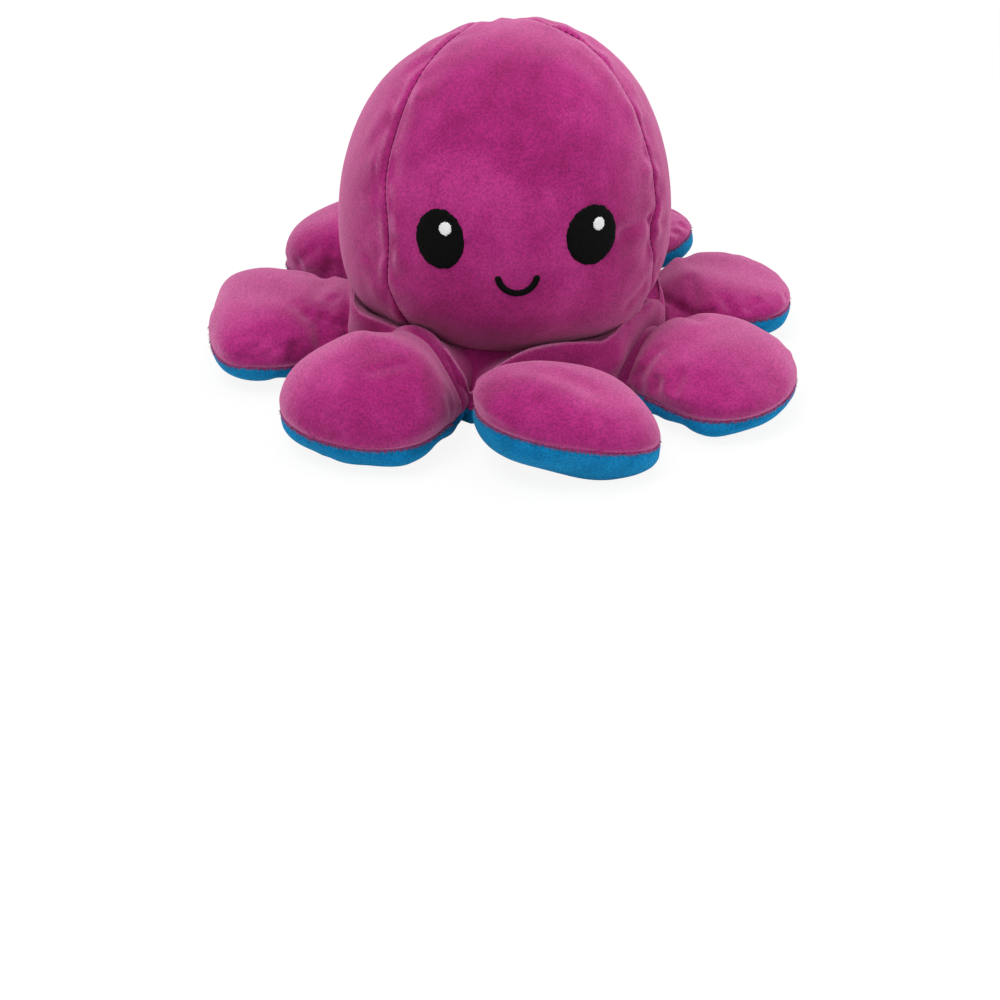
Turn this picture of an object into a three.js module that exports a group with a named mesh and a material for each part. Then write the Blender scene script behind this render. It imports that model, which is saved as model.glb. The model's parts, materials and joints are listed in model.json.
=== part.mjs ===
// Reversible plush octopus, standing on the floor with its magenta side out.
// Millimetres, +Z up, face towards -Y, origin on the floor under the middle of the toy.
// The head is a thick stuffed cup that is open below. The blue lining of its pocket becomes
// the outside when the toy is turned inside out. A flat web joins it to eight stuffed arms.

import * as THREE from "three";
import { mergeVertices } from "three/addons/utils/BufferGeometryUtils.js";

// Fabric and fits
const fabric = 1.5; // thickness of the short-pile velvet
const seamGap = 0.3; // between two panels that are sewn edge to edge
const stuffingClearance = 0.5; // between the filling and the fabric round it
const hingeClearance = 0.3; // between an arm's rounded root and the web

// Head
const headHeight = 112.2; // top of the head above the floor
const headRadius = 54;
const widestHeight = 47; // where the head is widest
const creaseHeight = 22; // where the head tucks in to meet the web
const creaseTuck = 13; // how far it tucks in there
const crownLean = 3.5; // the top of the head stands this far to its own left, +X
const seamDip = 1.1; // depth of the groove along a sewn seam
const crownHole = 2; // radius left open where the panels' points meet

// Pocket inside the head
const pocketWall = 13; // from the crease to the pocket
const pocketCeiling = 42; // from the pocket's top to the top of the head
const pocketBelly = 1.5; // how far its wall swells outwards

// Web between the head and the arms
const webReach = 8.6; // from the crease to the arms' roots
const webDrop = 2.6; // how far the gently sloping shoulder drops
const webHem = 2; // rounding of the lower edges
const notchDrop = 3; // the web is this much lower between two arms

// Arms
const armLength = 44; // hinge to tip
const armHeight = 28; // highest place above the floor
const armSeamHeight = 8; // seam between the magenta and the blue panel
const armRootRadius = 6; // half the thickness of the sewn root
const armSpacing = 1.2; // from an arm's root to the middle of the gap beside it
const soleFlat = 0.5; // how far the soft underside is pressed flat by the floor

// The arms, by azimuth in degrees from the face, with shares of the sizes above. Fill is an arm's
// width as a share of the room between its neighbours, sway and tilt are shares of that width.
const armShares = [
  { name: "front", azimuth: 7, length: 0.93, fill: 0.86, height: 1.06, sway: 0.2, tilt: 0.1 },
  { name: "front_right", azimuth: 57, length: 1.1, fill: 0.84, height: 0.98, sway: 0, tilt: 0 },
  { name: "right", azimuth: 102, length: 1.01, fill: 0.87, height: 1.0, sway: -0.03, tilt: 0 },
  { name: "back_right", azimuth: 142, length: 1.0, fill: 0.88, height: 0.9, sway: 0, tilt: 0 },
  { name: "back", azimuth: 182, length: 0.9, fill: 0.88, height: 0.92, sway: 0, tilt: 0 },
  { name: "back_left", azimuth: 222, length: 0.9, fill: 0.88, height: 0.96, sway: 0, tilt: 0 },
  { name: "left", azimuth: 268, length: 0.98, fill: 0.83, height: 0.98, sway: 0, tilt: 0 },
  { name: "front_left", azimuth: 321, length: 0.92, fill: 0.84, height: 1.07, sway: -0.05, tilt: 0 },
];
const armStationShares = [0, 0.15, 0.31, 0.48, 0.64, 0.79, 0.91, 0.98, 1];
const armWidestShare = 0.5;
const armHighestShare = 0.33;
const armSoleShare = 0.55; // from here the underside rises to the tip
const armSeamShare = 0.3; // from here the seam is at its full height
const rootAngles = [80, 42]; // degrees round the hinge, from the top, of the rounded root's rows
const soleRoundness = 0.6; // below 1, so the underside is fuller than an ellipse

// Head panels: the seams' azimuths in degrees from the face
const seamAzimuths = [58, 128, 232, 309];
const panelNames = ["right", "back", "left", "front"];
const poleTilt = 27; // degrees that the panels' meeting point is tilted back from the top
const poleAzimuth = 188;
const crownAngles = [16, 31, 46, 61, 76]; // degrees from there, of the rows above the widest place
const tuckShares = [0.42, 0.76, 1]; // of the way down from there to the crease
const pocketShares = [0, 0.22, 0.45, 0.66, 0.83, 0.95]; // of the pocket's depth

// Roundness of the outlines: 2 makes an ellipse
const headPower = 2.2;
const tuckPower = 2.4;
const pocketPower = 3;
const tipPower = 2.3;

// Embroidered face
const threadLift = 0.4; // between the fabric and the embroidery
const threadHeight = 0.6;
const eyeWidth = 16.6;
const eyeTall = 18.6;
const eyeHeight = 63.2; // above the floor
const eyeAzimuth = 26;
const eyeLean = 10; // degrees that the top of each eye leans outwards
const glintWidth = 4.2;
const glintTall = 4.8;
const glintAcross = 2.4; // from the middle of the eye
const glintUp = 3.1;
const smileHeight = 48.2; // of its lowest point above the floor
const smileRadius = 6;
const smileTurn = 78; // degrees on each side of the lowest point
const stroke = 1.9; // width of the embroidered line

// Second face, on the pocket's lining
const scowlEyeWidth = 13;
const scowlEyeTall = 10.5;
const scowlEyeDrop = 28.2; // from the pocket's top down to the middle of each eye
const scowlSeamMargin = 2.3; // from the nearest seam to an eye's outer edge
const scowlSlant = 1.5; // drop of the eyes' upper edge towards the middle
const scowlGlint = 2.4;
const frownDrop = 11; // from the eyes' middles down to its highest point
const frownRadius = 4.4;

// Sizes that follow from those above
const creaseRadius = headRadius - creaseTuck;
const pocketRadius = creaseRadius - pocketWall;
const pocketTop = headHeight - pocketCeiling;
const webRadius = creaseRadius + webReach;
const hingeRadius = webRadius + hingeClearance + armRootRadius;
const hingeHeight = armRootRadius + soleFlat;
const stuffingInset = fabric + stuffingClearance;

const looks = {
  magenta: { color: 0xa9307a, roughness: 0.95, metalness: 0 },
  blue: { color: 0x0a7fc0, roughness: 0.95, metalness: 0 },
  black: { color: 0x0b0b0b, roughness: 0.7, metalness: 0 },
  white: { color: 0xdedede, roughness: 0.6, metalness: 0 },
  fibre: { color: 0xf2f0ea, roughness: 1, metalness: 0 },
};

const smallest = 1e-6; // shorter edges are dropped from the meshes
const mergeGrid = 1e-5;
const radians = THREE.MathUtils.degToRad;
const ease = (share) => THREE.MathUtils.smoothstep(share, 0, 1);
const upwards = new THREE.Vector3(0, 0, 1);
const wrap = (azimuth) => ((azimuth % 360) + 360) % 360;

// Closed meshes from rows of points

function closedGeometry(triangles) {
  const positions = [];
  for (const [a, b, c] of triangles) {
    const shortest = Math.min(a.distanceTo(b), b.distanceTo(c), c.distanceTo(a));
    if (shortest > smallest) {
      positions.push(...a.toArray(), ...b.toArray(), ...c.toArray());
    }
  }
  const geometry = new THREE.BufferGeometry();
  geometry.setAttribute("position", new THREE.Float32BufferAttribute(positions, 3));
  return mergeVertices(geometry, mergeGrid);
}

function stripTriangles(rowA, rowB) {
  const triangles = [];
  for (let j = 0; j + 1 < rowA.length; j++) {
    triangles.push([rowA[j], rowB[j], rowB[j + 1]], [rowA[j], rowB[j + 1], rowA[j + 1]]);
  }
  return triangles;
}

function gridTriangles(rows) {
  return rows.slice(1).flatMap((row, i) => stripTriangles(rows[i], row));
}

// The same grid, facing the other way and split along the same diagonals
const backTriangles = (rows) => gridTriangles(rows).map(([a, b, c]) => [a, c, b]);
const reversedRows = (rows) => rows.map((row) => [...row].reverse());
const closedRows = (rows) => rows.map((row) => [...row, row[0]]);

// A sheet with thickness, from the rows of its face and of its back.
function sheetGeometry(face, back) {
  const first = (rows) => rows.map((row) => row[0]);
  const last = (rows) => rows.map((row) => row.at(-1));
  return closedGeometry([
    ...gridTriangles(face),
    ...backTriangles(back),
    ...stripTriangles(back[0], face[0]),
    ...stripTriangles(face.at(-1), back.at(-1)),
    ...stripTriangles(first(face), first(back)),
    ...stripTriangles(last(back), last(face)),
  ]);
}

// The same, closed round in a ring, or a disc where the first row is all one point.
function ringSheetGeometry(openFace, openBack) {
  const face = closedRows(openFace);
  const back = closedRows(openBack);
  return closedGeometry([
    ...gridTriangles(face),
    ...backTriangles(back),
    ...stripTriangles(back[0], face[0]),
    ...stripTriangles(face.at(-1), back.at(-1)),
  ]);
}

// A solid made of closed rings, with each end shut on the middle of its ring.
function ringSolidGeometry(rings) {
  const middle = (ring) => {
    const sum = ring.reduce((total, point) => total.add(point), new THREE.Vector3());
    return sum.divideScalar(ring.length);
  };
  const endRow = (ring) => ring.map(() => middle(ring));
  return closedGeometry(gridTriangles(closedRows([endRow(rings[0]), ...rings, endRow(rings.at(-1))])));
}

// Paths in an upright plane through the axis: x is the distance from it, y the height

function onAxisPlane(azimuth, point) {
  const turn = radians(azimuth);
  return new THREE.Vector3(Math.sin(turn) * point.x, -Math.cos(turn) * point.x, point.y);
}

// Moves a path sideways into the material, which lies on its right.
function insetPath(path, distance) {
  return path.map((point, i) => {
    const before = point.clone().sub(path[Math.max(i - 1, 0)]).normalize();
    const after = path[Math.min(i + 1, path.length - 1)].clone().sub(point).normalize();
    const along = before.clone().add(after).normalize();
    const reach = distance / along.dot(i === 0 ? after : before);
    return new THREE.Vector2(point.x + along.y * reach, point.y - along.x * reach);
  });
}

// The web's edge is a polygon with one side for each arm.
function webEdge(azimuth) {
  const sides = armShares.map((arm) => Math.cos(radians(azimuth - arm.azimuth)));
  return webRadius / Math.max(...sides);
}

// Azimuths of the two gaps beside an arm
function gapsBeside(index) {
  const count = armShares.length;
  const own = armShares[index].azimuth;
  const half = (from, to) => wrap(to - from) / 2;
  const before = half(armShares[(index + count - 1) % count].azimuth, own);
  const after = half(own, armShares[(index + 1) % count].azimuth);
  return { before, after };
}

// Columns round the axis: each gap, three between two gaps, and the seams in place of some.
function columnAzimuths() {
  const gaps = [];
  const between = [];
  armShares.forEach((arm, index) => {
    const { before, after } = gapsBeside(index);
    const step = (before + after) / 4;
    const start = arm.azimuth - before;
    gaps.push(start);
    between.push(start + step, start + 2 * step, start + 3 * step);
  });
  for (const seam of seamAzimuths) {
    const away = between.map((azimuth) => Math.abs(wrap(azimuth - seam + 180) - 180));
    between[away.indexOf(Math.min(...away))] = seam;
  }
  return [...gaps, ...between].map(wrap).sort((a, b) => a - b);
}

// A point of the head above its widest place, at an angle from the pole where the panels meet
function domePoint(azimuth, angle, inset) {
  const tiltAxis = onAxisPlane(poleAzimuth, new THREE.Vector2(1, 0)).applyAxisAngle(upwards, Math.PI / 2);
  const tilt = radians(poleTilt) * (1 - ease(angle / 90));
  const slant = new THREE.Vector2(Math.sin(radians(angle)), Math.cos(radians(angle)));
  const point = onAxisPlane(azimuth, slant).applyAxisAngle(tiltAxis, tilt);
  const acrossShare = Math.hypot(point.x, point.y) / (headRadius - inset);
  const upShare = Math.max(point.z, 0) / (headHeight - widestHeight - inset);
  const reach = (acrossShare ** headPower + upShare ** headPower) ** (-1 / headPower);
  point.multiplyScalar(reach - seamDipAt(azimuth));
  point.x += crownLean * (point.z / (headHeight - widestHeight)) ** 2;
  point.z += widestHeight;
  return point;
}

const seamDipAt = (azimuth) => (seamAzimuths.includes(wrap(azimuth)) ? seamDip : 0);

// Rows from the pole down to the last above the widest place
function domeRows(azimuths, inset) {
  const holeAngle = THREE.MathUtils.radToDeg(crownHole / (headHeight - widestHeight));
  const angles = [holeAngle, ...crownAngles];
  return angles.map((angle) => azimuths.map((azimuth) => domePoint(azimuth, angle, inset)));
}

// From the widest place down to the crease
function tuckPath(azimuth) {
  return [0, ...tuckShares].map((share) => {
    const radius = headRadius - creaseTuck * share ** tuckPower - seamDipAt(azimuth);
    return new THREE.Vector2(radius, widestHeight - (widestHeight - creaseHeight) * share);
  });
}

// From the crease out to the seam round the web's edge
function webTopPath(azimuth) {
  const edge = webEdge(azimuth);
  const drop = notchDrop * ease((edge - webRadius) / notchDrop);
  const shoulder = (creaseRadius + webRadius) / 2;
  return [
    new THREE.Vector2(creaseRadius, creaseHeight - seamGap),
    new THREE.Vector2(shoulder, creaseHeight - webDrop),
    new THREE.Vector2(edge, hingeHeight + armRootRadius - drop),
    new THREE.Vector2(edge, hingeHeight + seamGap / 2),
  ];
}

// From the same seam, under the web, to the pocket's mouth
function webBottomPath(azimuth) {
  const edge = webEdge(azimuth);
  return [
    new THREE.Vector2(edge, hingeHeight - seamGap / 2),
    new THREE.Vector2(edge, webHem),
    new THREE.Vector2(edge - webHem, 0),
    new THREE.Vector2(pocketRadius + webHem, 0),
    new THREE.Vector2(pocketRadius, webHem),
    new THREE.Vector2(pocketRadius, 2 * webHem),
  ];
}

// From the pocket's mouth up to its top
function pocketPath() {
  const mouth = 2 * webHem + seamGap;
  const wall = pocketShares.map((share) => {
    const belly = pocketBelly * Math.sin(Math.PI * share);
    const radius = pocketRadius * Math.sqrt(1 - share ** pocketPower) + belly;
    return new THREE.Vector2(radius, mouth + (pocketTop - mouth) * share);
  });
  return [...wall, new THREE.Vector2(crownHole, pocketTop)];
}

// The stuffed cup from its widest place to the pocket's top, without the gaps at its seams
function cupPath(azimuth) {
  return [
    ...tuckPath(azimuth),
    ...webTopPath(azimuth).slice(1, -1),
    ...webBottomPath(azimuth).slice(1),
    ...pocketPath().slice(1),
  ];
}

// Rows of points from one path for each azimuth
function pathRows(azimuths, paths) {
  return paths[0].map((_, i) => azimuths.map((azimuth, j) => onAxisPlane(azimuth, paths[j][i])));
}

// A surface of the toy drawn into its material by an inset, below the dome's rows if it has any
function surfaceRows(azimuths, pathAt, inset, hasDome) {
  const rows = pathRows(azimuths, azimuths.map((azimuth) => insetPath(pathAt(azimuth), inset)));
  return hasDome ? [...domeRows(azimuths, inset), ...rows] : rows;
}

// One panel's columns, from seam to seam
function panelAzimuths(index) {
  const start = seamAzimuths[index];
  const end = seamAzimuths[(index + 1) % seamAzimuths.length];
  const turns = columnAzimuths().map((azimuth) => wrap(azimuth - start));
  const inside = turns.filter((turn) => turn <= wrap(end - start));
  return inside.sort((a, b) => a - b).map((turn) => start + turn);
}

// Draws a panel's two sewn edges back from the seam by half the gap.
function drawnBack(rows) {
  const pulled = (point, next) => {
    const step = next.clone().sub(point).setZ(0).setLength(seamGap / 2);
    return step.add(point);
  };
  return rows.map((row) => [
    pulled(row[0], row[1]),
    ...row.slice(1, -1),
    pulled(row.at(-1), row.at(-2)),
  ]);
}

function panelGeometry(index, pathAt, hasDome) {
  const azimuths = panelAzimuths(index);
  const face = surfaceRows(azimuths, pathAt, 0, hasDome);
  const back = surfaceRows(azimuths, pathAt, fabric, hasDome);
  return sheetGeometry(drawnBack(face), drawnBack(back));
}

function ringPanelGeometry(pathAt) {
  const azimuths = columnAzimuths();
  const face = surfaceRows(azimuths, pathAt, 0, false);
  return ringSheetGeometry(face, surfaceRows(azimuths, pathAt, fabric, false));
}

function headStuffingGeometry() {
  return ringSolidGeometry(surfaceRows(columnAzimuths(), cupPath, stuffingInset, true));
}

// Arms, each in its own frame: the hinge along Y, X outwards, and zero at the hinge's height

// Sizes of one arm, with each surface drawn in by an inset
function armSizes(index, inset) {
  const arm = armShares[index];
  const { before, after } = gapsBeside(index);
  const wedge = Math.tan(radians(Math.min(before, after)));
  const length = armLength * arm.length;
  const halfWidth = (hingeRadius + armWidestShare * length) * wedge * arm.fill;
  const rootHalfWidth = webRadius * wedge - armSpacing;
  return {
    length: length - inset,
    halfWidth: halfWidth - inset,
    rootShare: rootHalfWidth / halfWidth,
    rootRadius: armRootRadius - inset,
    topHeight: armHeight * arm.height - armSeamHeight - inset,
    soleDepth: armSeamHeight + soleFlat - inset,
    floor: inset - hingeHeight,
    sway: 2 * halfWidth * arm.sway,
    tilt: arm.tilt,
  };
}

// Share of the full size at a place along the arm: it swells to one, then rounds off at the tip.
function swell(share, rootShare, fullestShare) {
  if (share <= fullestShare) {
    return rootShare + (1 - rootShare) * Math.sin((Math.PI / 2) * (share / fullestShare));
  }
  return Math.sqrt(1 - ((share - fullestShare) / (1 - fullestShare)) ** tipPower);
}

// The cross-sections of an arm from root to tip
function armStations(sizes) {
  const rootTurns = rootAngles.map(radians);
  const root = rootTurns.map((turn) => ({
    share: 0,
    x: -sizes.rootRadius * Math.sin(turn),
    flat: Math.cos(turn),
  }));
  const rest = armStationShares.map((share) => ({ share, x: sizes.length * share, flat: 1 }));
  return [...root, ...rest].map(({ share, x, flat }) => ({
    x,
    centre: sizes.sway * share ** 2,
    halfWidth: sizes.halfWidth * swell(share, sizes.rootShare, armWidestShare),
    seam: (armSeamHeight - hingeHeight) * ease(share / armSeamShare),
    top: flat * sizes.topHeight * swell(share, sizes.rootRadius / sizes.topHeight, armHighestShare),
    sole: flat * sizes.soleDepth * swell(share, sizes.rootRadius / sizes.soleDepth, armSoleShare),
    tilt: sizes.tilt * ease(share / armSeamShare),
  }));
}

// A point on a cross-section. The turn is 0 at one seam, half a turn at the other; the side
// is 1 for the magenta half above the seam and -1 for the blue half below it.
function armPoint(station, turn, side, gap, floor) {
  const across = -Math.cos(turn) * station.halfWidth;
  const bulge = Math.sin(turn);
  const tilted = station.seam - station.tilt * across;
  const above = gap + (station.top - gap) * bulge;
  const below = gap + (station.sole - gap) * bulge ** soleRoundness;
  const height = side > 0 ? tilted + above : tilted - below;
  return new THREE.Vector3(station.x, station.centre + across, Math.max(height, floor));
}

function armRows(index, inset, side) {
  const steps = 6;
  const sizes = armSizes(index, inset);
  const turns = Array.from({ length: steps + 1 }, (_, i) => (Math.PI * i) / steps);
  const rows = armStations(sizes).map((station) =>
    turns.map((turn) => armPoint(station, turn, side, seamGap / 2, sizes.floor))
  );
  return side > 0 ? rows : reversedRows(rows);
}

function armPanelGeometry(index, side) {
  return sheetGeometry(armRows(index, 0, side), armRows(index, fabric, side));
}

function armStuffingGeometry(index) {
  const above = armRows(index, stuffingInset, 1);
  const below = armRows(index, stuffingInset, -1);
  return ringSolidGeometry(above.map((row, i) => [...row, ...below[i]]).slice(0, -1));
}

// Embroidery, laid on the face of a panel as it is seen from outside or from inside the pocket

// Gives points over a panel: x to the viewer's right and y up, from a middle at an azimuth and height.
function patchOn(panel, azimuth, height, fromInside) {
  const outwards = onAxisPlane(azimuth, new THREE.Vector2(1, 0));
  const origin = outwards.clone().multiplyScalar(fromInside ? 0 : 2 * headRadius).setZ(height);
  const sight = outwards.multiplyScalar(fromInside ? 1 : -1);
  const [middle] = new THREE.Raycaster(origin, sight).intersectObject(panel);
  const normal = middle.face.normal;
  const right = upwards.clone().cross(normal).normalize();
  const up = normal.clone().cross(right);
  return (x, y, lift) => {
    const start = middle.point.clone().addScaledVector(right, x).addScaledVector(up, y);
    start.addScaledVector(normal, pocketRadius / 2);
    const [hit] = new THREE.Raycaster(start, normal.clone().negate()).intersectObject(panel);
    return hit.point.addScaledVector(normal, lift);
  };
}

// A disc of thread, from the middle of its outline outwards
function discGeometry(patch, outline, lift) {
  const rowShares = [0, 0.5, 1];
  const sum = outline.reduce((total, point) => total.add(point), new THREE.Vector2());
  const middle = sum.divideScalar(outline.length);
  const places = rowShares.map((share) => outline.map((point) => middle.clone().lerp(point, share)));
  const rowsAt = (height) => places.map((row) => row.map(({ x, y }) => patch(x, y, height)));
  return ringSheetGeometry(rowsAt(lift + threadHeight), rowsAt(lift));
}

// A line of thread along an arc, which hangs down from its ends or arches up from them
function arcGeometry(patch, radius, side) {
  const count = 9;
  const turns = Array.from({ length: count }, (_, i) => radians(smileTurn) * ((2 * i) / (count - 1) - 1));
  const rowsAt = (height) =>
    turns.map((turn) =>
      [stroke / 2, -stroke / 2].map((across) => {
        const reach = radius + side * across;
        return patch(reach * Math.sin(turn), side * (radius - reach * Math.cos(turn)), height);
      })
    );
  return sheetGeometry(rowsAt(threadLift + threadHeight), rowsAt(threadLift));
}

function ellipseOutline(width, tall, lean, offset) {
  const count = 16;
  return Array.from({ length: count }, (_, i) => {
    const turn = (2 * Math.PI * i) / count;
    const point = new THREE.Vector2((width / 2) * Math.cos(turn), (tall / 2) * Math.sin(turn));
    return point.rotateAround(new THREE.Vector2(), -radians(lean)).add(offset);
  });
}

// An eye with a straight upper edge that slants down to the middle of the face
function scowlOutline(side) {
  return ellipseOutline(scowlEyeWidth, 2 * scowlEyeTall, 0, new THREE.Vector2()).map(({ x, y }) => {
    const edge = (scowlSlant * side * x) / (scowlEyeWidth / 2);
    return new THREE.Vector2(x, Math.min(y, edge) + scowlEyeTall / 2);
  });
}

const toy = new THREE.Group();

function addPiece(group, name, geometry, look) {
  const mesh = new THREE.Mesh(geometry, new THREE.MeshStandardMaterial(looks[look]));
  mesh.name = name;
  group.add(mesh);
  return mesh;
}

// Head, its filling and the pocket's lining
const headPanels = panelNames.map((name, index) =>
  addPiece(toy, `head_panel_${name}`, panelGeometry(index, tuckPath, true), "magenta")
);
const liningPanels = panelNames.map((name, index) =>
  addPiece(toy, `lining_panel_${name}`, panelGeometry(index, pocketPath, false), "blue")
);
addPiece(toy, "head_stuffing", headStuffingGeometry(), "fibre");
addPiece(toy, "web_top", ringPanelGeometry(webTopPath), "magenta");
addPiece(toy, "web_bottom", ringPanelGeometry(webBottomPath), "blue");

// Smiling face
const facePanel = headPanels[panelNames.indexOf("front")];
const glintLift = 2 * threadLift + threadHeight;
for (const [side, name] of [[-1, "left"], [1, "right"]]) {
  const patch = patchOn(facePanel, side * eyeAzimuth, eyeHeight, false);
  const eye = ellipseOutline(eyeWidth, eyeTall, side * eyeLean, new THREE.Vector2());
  const glint = ellipseOutline(glintWidth, glintTall, 0, new THREE.Vector2(glintAcross, glintUp));
  addPiece(toy, `eye_${name}`, discGeometry(patch, eye, threadLift), "black");
  addPiece(toy, `eye_glint_${name}`, discGeometry(patch, glint, glintLift), "white");
}
addPiece(toy, "smile", arcGeometry(patchOn(facePanel, 0, smileHeight, false), smileRadius, 1), "black");

// Scowling face inside the pocket
const scowlPanel = liningPanels[panelNames.indexOf("front")];
const scowlEyeHeight = pocketTop - scowlEyeDrop;
const nearestSeam = Math.min(...seamAzimuths.map((azimuth) => Math.abs(wrap(azimuth + 180) - 180)));
const scowlEyeReach = (scowlSeamMargin + scowlEyeWidth / 2) / pocketRadius;
const scowlEyeAzimuth = nearestSeam - THREE.MathUtils.radToDeg(scowlEyeReach);
for (const [side, name] of [[-1, "left"], [1, "right"]]) {
  const patch = patchOn(scowlPanel, -side * scowlEyeAzimuth, scowlEyeHeight, true);
  const glint = ellipseOutline(scowlGlint, scowlGlint, 0, new THREE.Vector2());
  addPiece(toy, `scowl_eye_${name}`, discGeometry(patch, scowlOutline(side), threadLift), "black");
  addPiece(toy, `scowl_glint_${name}`, discGeometry(patch, glint, glintLift), "white");
}
const frownPatch = patchOn(scowlPanel, 0, scowlEyeHeight - frownDrop, true);
addPiece(toy, "frown", arcGeometry(frownPatch, frownRadius, -1), "black");

// Arms, each turned to its azimuth about the toy's axis
armShares.forEach((arm, index) => {
  const group = new THREE.Group();
  group.position.copy(onAxisPlane(arm.azimuth, new THREE.Vector2(hingeRadius, hingeHeight)));
  group.rotation.z = radians(arm.azimuth - 90);
  addPiece(group, `arm_${arm.name}_top`, armPanelGeometry(index, 1), "magenta");
  addPiece(group, `arm_${arm.name}_sole`, armPanelGeometry(index, -1), "blue");
  addPiece(group, `arm_${arm.name}_stuffing`, armStuffingGeometry(index), "fibre");
  toy.add(group);
});

export default toy;
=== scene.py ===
"""Looks of the plush octopus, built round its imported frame. Metres, +Z up, the face towards -Y."""

import json
import math

import bmesh
import bpy
import numpy as np
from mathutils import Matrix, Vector
from mathutils.bvhtree import BVHTree


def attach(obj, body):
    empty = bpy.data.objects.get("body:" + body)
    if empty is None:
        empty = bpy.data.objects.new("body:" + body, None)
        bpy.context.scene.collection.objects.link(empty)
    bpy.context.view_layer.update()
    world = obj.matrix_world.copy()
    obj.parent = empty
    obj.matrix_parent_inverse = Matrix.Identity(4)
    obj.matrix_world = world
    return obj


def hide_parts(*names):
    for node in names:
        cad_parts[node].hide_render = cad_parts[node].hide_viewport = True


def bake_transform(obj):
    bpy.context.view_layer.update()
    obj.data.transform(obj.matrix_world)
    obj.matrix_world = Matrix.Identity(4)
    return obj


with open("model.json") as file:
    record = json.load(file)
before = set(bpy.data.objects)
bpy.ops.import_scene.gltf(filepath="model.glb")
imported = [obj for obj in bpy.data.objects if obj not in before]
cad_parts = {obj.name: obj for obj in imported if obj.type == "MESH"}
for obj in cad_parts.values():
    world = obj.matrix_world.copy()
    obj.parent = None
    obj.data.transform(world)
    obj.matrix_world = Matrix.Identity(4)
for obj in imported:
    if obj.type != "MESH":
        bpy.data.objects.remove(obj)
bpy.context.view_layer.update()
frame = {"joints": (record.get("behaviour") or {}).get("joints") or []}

MM = 0.001
TURN = 2 * math.pi
UP = np.array([0, 0, 1.0])
CURVE_STEPS = 6
SEEDS = dict(head=40, pocket=60, arm=100, web=6, underside=31, eye=71, glint=74, scowl=81, scowl_glint=84)
WELD_DISTANCE = 0.02 * MM

# Head, as in the frame
HEAD_HEIGHT = 112.2 * MM
HEAD_RADIUS = 54 * MM
WIDEST_HEIGHT = 47 * MM
CREASE_HEIGHT = 22 * MM
CREASE_RADIUS = 41 * MM
CREASE_TUCK = HEAD_RADIUS - CREASE_RADIUS
CROWN_LEAN = 3.5 * MM
DOME_HEIGHT = HEAD_HEIGHT - WIDEST_HEIGHT
SEAM_AZIMUTHS = {"right": 58, "back": 128, "left": 232, "front": 309}
SEAM_TURNS = {  # where a seam turns aside: from and to, in degrees down from the pole, and by how much
    "right": ((45, 65, 2.8), (73, 80, -5.0), (81, 90, 2.6)),
    "back": ((50, 80, 2.0),),
    "left": ((40, 70, -2.0),),
    "front": ((35, 55, -1.2), (56, 80, 5.4), (95, 120, 2.0)),
}
SEAM_WANDER = 0.35
POLE_TILT = 19
POLE_AZIMUTH = 188
HEAD_POWER = 2.2
TUCK_POWER = 2.4
HEAD_CLEARANCE = 1.2 * MM
SAGS = ((44, 20, 5 * MM), (284, 14, 3.5 * MM))  # over the arms: azimuth, reach and depth
SAG_POWER = 1.6

# Finish of the head's panels
HEM_INSIDE = 5 * MM  # how far the fabric runs on inside, past the crease
SEAM_PLACES = np.array([0, 0.12, 0.35, 0.7, 1.2, 1.9, 2.8, 3.9, 5.2]) * MM  # of a panel's columns
PANEL_PITCH = 1.6 * MM
PANEL_STEP = 1.2  # of its rows, in degrees
TUCK_ROWS = 32
PANEL_BULGE = 0.6 * MM
GROOVE_DEPTH = 1.1 * MM
GROOVE_WIDTH = 2.8 * MM
STITCH_PITCH = 2.5 * MM
STITCH_LENGTH = 1.2 * MM
STITCH_WIDTH = 0.6 * MM
STITCH_DEPTH = 0.55 * GROOVE_DEPTH
STITCHED_ROWS = slice(6, -3)
PUCKER_HEIGHT = 0.8 * MM
PUCKER_REACH = 7 * MM
PUCKER_LENGTH = 10 * MM
PUCKER_HIGHLIGHT_SHARE = 0.45
LUMP_HEIGHT = 0.35 * MM
LUMP_LENGTH = 38 * MM
CLOTH = 1.2 * MM
WEB_CLOTH = 0.3 * MM
DENT_PLACES = 16  # along each dent's path
# Creases drawn in by the seams: from one place to another (azimuth and height), depth and width in mm
HEAD_DENTS = (
    ((39, 61.5), (55, 60.5), 1.0, 2.0),
    ((56, 60), (66, 55), 0.9, 2.2),
    ((44, 38), (55, 41), 0.7, 2.2),
    ((60, 78), (68, 74), 0.6, 2.2),
    ((-46, 54), (-56, 50), 0.7, 2.2),
    ((-50, 74), (-60, 70), 0.6, 2.2),
    ((126, 60), (116, 56), 0.7, 2.2),
    ((230, 56), (242, 52), 0.7, 2.2),
)

# Pocket, web and rest of the root
POCKET_RADIUS = 28 * MM
POCKET_TOP = 70.2 * MM
POCKET_MOUTH = 4.3 * MM
POCKET_POWER = 3
POCKET_BELLY = 1.5 * MM
POCKET_COLUMN = 1.6  # degrees
POCKET_FOLD_HEIGHT = 0.9 * MM
POCKET_FOLD_LENGTH = 20 * MM
POCKET_FOLD_FADE = 5 * MM
POCKET_GROOVE_DEPTH = 1.2 * MM
POCKET_GROOVE_WIDTH = 2.5 * MM
WEB_RADIUS = 49.6 * MM
WEB_HEM = 2 * MM
WEB_EDGE_HEIGHT = 9.5 * MM
WEB_SEAM_HEIGHT = 6.5 * MM
NOTCH_DROP = 3 * MM
COLLAR_HEIGHT = 27.8 * MM  # of the ridge that hangs round the head
COLLAR_REACH = 44.5 * MM  # as far out as the web lies against the head
COLLAR_ROUNDING = 0.9 * MM
COLLAR_BULGE = 1.5 * MM  # over the arms' roots
VALLEY_DEPTH = 1.0 * MM  # behind the ridge in front
VALLEY_AZIMUTH = 356
VALLEY_REACH = 28
VALLEY_FADE = 12
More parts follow.
